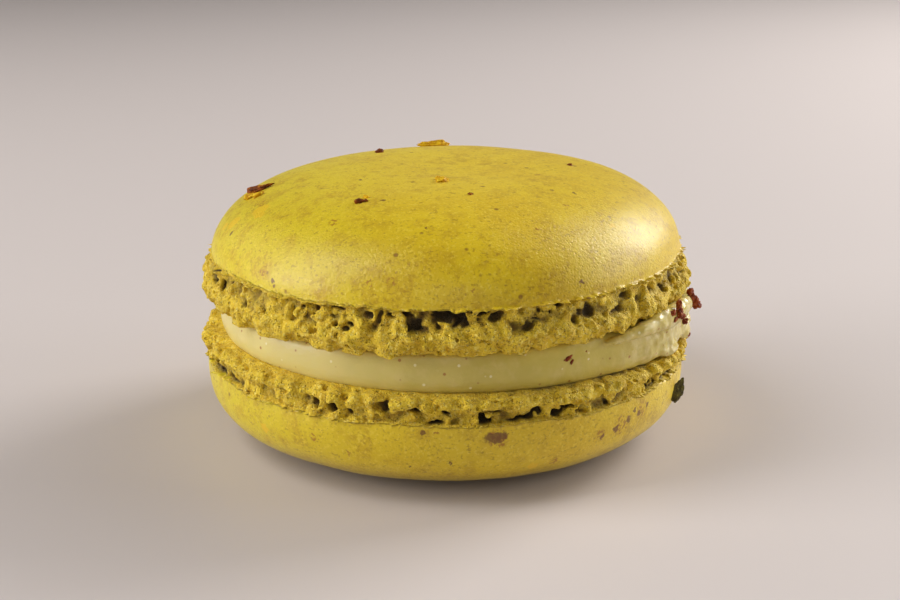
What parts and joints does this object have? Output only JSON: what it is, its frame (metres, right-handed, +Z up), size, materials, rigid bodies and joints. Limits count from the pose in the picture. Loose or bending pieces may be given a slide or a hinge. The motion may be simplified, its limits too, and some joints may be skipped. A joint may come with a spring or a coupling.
{
  "type": "french macaron",
  "caption": "Round sandwich biscuit: two smooth domed almond shells with ruffled, porous feet round their rims, held together by a disc of pale ganache.",
  "frame": {"origin": "middle of the flat spot that the lower shell rests on, on the supporting surface", "axes": "+Z up through both shells, the short way of the macaron; -Y is the shown front; +X is the side where the filling is pressed out"},
  "size_m": [0.0473, 0.0475, 0.025],
  "materials": {
    "baked_shell": "dry, satin-matte baked almond meringue, pistachio yellow-green, with a porous foot",
    "ganache": "smooth, moist, pale pistachio ganache"
  },
  "bodies": {
    "root": {"top_shell": "baked_shell", "bottom_shell": "baked_shell", "filling": "ganache"}
  },
  "joints": []
}
